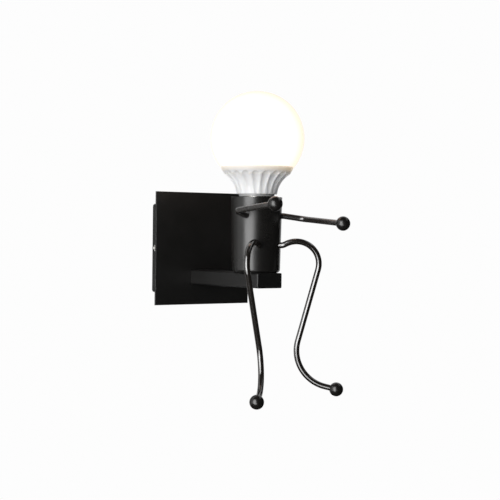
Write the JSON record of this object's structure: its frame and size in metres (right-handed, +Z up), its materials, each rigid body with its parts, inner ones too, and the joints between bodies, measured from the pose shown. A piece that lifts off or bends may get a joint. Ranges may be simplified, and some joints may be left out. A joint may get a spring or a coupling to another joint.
{
  "type": "wall light",
  "caption": "Black wall light shaped like a seated stick figure: square wall box, bar, lamp cup, screw-in globe bulb as the head, and posable bent-rod arms and legs with ball ends.",
  "frame": {"origin": "centre of the wall bracket, between its two slots, on the wall plane", "axes": "+Y into the wall, -Y out into the room, +X right seen from the front, +Z up"},
  "size_m": [0.1143, 0.1809, 0.2625],
  "materials": {
    "black_coat": "satin powder coat",
    "bright_steel": "nickel plated",
    "zinc": "zinc plated",
    "brass": "plain",
    "white_plastic": "moulded",
    "diffuser": "opal",
    "ceramic": "glazed ceramic",
    "rubber": "matte",
    "cap_metal": "bright",
    "phosphor": "phosphor",
    "board": "circuit board",
    "wire_brown": "insulation",
    "wire_blue": "insulation",
    "wire_green": "insulation"
  },
  "bodies": {
    "base": {"wall_bracket": "zinc", "back_box": "black_coat", "front_plate": "black_coat", "side_screws": "bright_steel", "earth_screw": "brass", "cable_grommet": "rubber", "support_bar": "black_coat", "bar_anchor": "zinc", "bar_screws": "zinc", "bar_end_cap": "black_coat", "lamp_cup": "black_coat", "cup_nipple": "zinc", "nipple_nuts": "zinc", "cup_washer": "zinc", "holder_cap": "ceramic", "holder_body": "ceramic", "screw_shell": "brass", "centre_contact": "brass", "holder_terminals": "brass", "terminal_block": "white_plastic", "terminal_screws": "brass", "live_wire": "wire_brown", "neutral_wire": "wire_blue", "earth_wire": "wire_green"},
    "bulb_globe": {"bulb_globe": "diffuser"},
    "bulb_base": {"bulb_housing": "white_plastic", "bulb_cap": "cap_metal", "bulb_insulator": "rubber", "bulb_contact": "zinc", "led_board": "cap_metal", "led_chips": "phosphor", "driver_board": "board"},
    "left_arm": {"left_arm": "black_coat", "left_hand": "black_coat", "left_arm_clip": "zinc"},
    "right_arm": {"right_arm": "black_coat", "right_hand": "black_coat", "right_arm_clip": "zinc"},
    "left_leg": {"left_leg": "black_coat", "left_foot": "black_coat", "left_leg_clip": "zinc"},
    "right_leg": {"right_leg": "black_coat", "right_foot": "black_coat", "right_leg_clip": "zinc"}
  },
  "joints": [
    {"name": "bulb_lift", "type": "slide", "parent": "base", "child": "bulb_globe", "axis": [0, 0, 1], "range_m": [0, 0.02182]},
    {"name": "bulb_turn", "type": "hinge", "parent": "bulb_globe", "child": "bulb_base", "pos_m": [0, -0.1025, 0.04485], "axis": [0, 0, 1], "range_deg": [0, 2160]},
    {"name": "left_arm_pivot", "type": "hinge", "parent": "base", "child": "left_arm", "pos_m": [0, -0.1025, 0.02915], "axis": [-0.866, -0.5, 0], "range_deg": [-40, 70]},
    {"name": "right_arm_pivot", "type": "hinge", "parent": "base", "child": "right_arm", "pos_m": [0, -0.1025, 0.02915], "axis": [-0.866, 0.5, 0], "range_deg": [-40, 70]},
    {"name": "left_leg_pivot", "type": "hinge", "parent": "base", "child": "left_leg", "pos_m": [0, -0.1025, 0.00425], "axis": [-0.5225, -0.8526, 0], "range_deg": [-53, 7]},
    {"name": "right_leg_pivot", "type": "hinge", "parent": "base", "child": "right_leg", "pos_m": [0, -0.1025, 0.00425], "axis": [-0.5225, 0.8526, 0], "range_deg": [-41, 19]}
  ],
  "couplings": [
    {"joint": "bulb_lift", "follows": "bulb_turn", "m_per_rad": 0.00057614}
  ]
}
